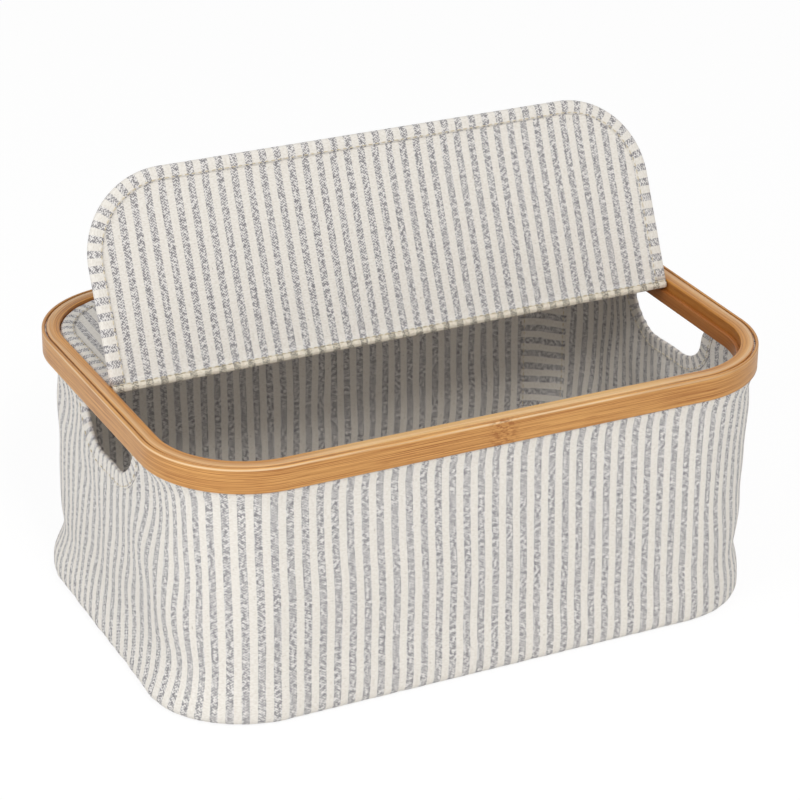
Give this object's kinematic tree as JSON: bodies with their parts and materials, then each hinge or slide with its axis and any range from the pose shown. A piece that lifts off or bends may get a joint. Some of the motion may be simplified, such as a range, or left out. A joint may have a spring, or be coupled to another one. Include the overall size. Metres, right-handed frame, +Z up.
{
  "type": "canvas craft box",
  "caption": "Striped canvas craft box with a bent bamboo rim, handle openings in both ends and a padded canvas lid in two halves that folds up along its middle.",
  "frame": {"origin": "centre of the footprint, on the surface the box stands on", "axes": "+X along the length, +Y to the back where the lid is hinged, +Z up"},
  "size_m": [0.4, 0.28, 0.2812],
  "materials": {
    "bamboo": "satin varnished bamboo, honey brown, grain along the strip",
    "striped_canvas": "cream cotton canvas with woven grey stripes along the height",
    "binding_canvas": "strip of the same canvas, stripes across the edge it binds",
    "greyboard": "pressed grey paper board, matt"
  },
  "bodies": {
    "box": {"outer_hoop": "bamboo", "inner_hoop": "bamboo", "ledge_hoop": "bamboo", "canvas_wall": "striped_canvas", "canvas_floor": "striped_canvas", "seam_tape": "binding_canvas", "left_handle_binding": "binding_canvas", "right_handle_binding": "binding_canvas", "base_board": "greyboard", "base_cover": "striped_canvas", "lid_hinge_tape": "binding_canvas"},
    "rear_lid": {"rear_lid_board": "greyboard", "rear_lid_cover": "striped_canvas", "rear_lid_binding": "binding_canvas", "fold_bead": "binding_canvas"},
    "front_lid": {"front_lid_board": "greyboard", "front_lid_cover": "striped_canvas", "front_lid_binding": "binding_canvas", "fold_leaf": "binding_canvas"}
  },
  "joints": [
    {"name": "lid_lift", "type": "hinge", "parent": "box", "child": "rear_lid", "pos_m": [0, 0.1283, 0.1687], "axis": [-1, 0, 0], "range_deg": [0, 105]},
    {"name": "lid_fold", "type": "hinge", "parent": "rear_lid", "child": "front_lid", "pos_m": [0, -0.002, 0.166], "axis": [-1, 0, 0], "range_deg": [-115, 0]}
  ]
}
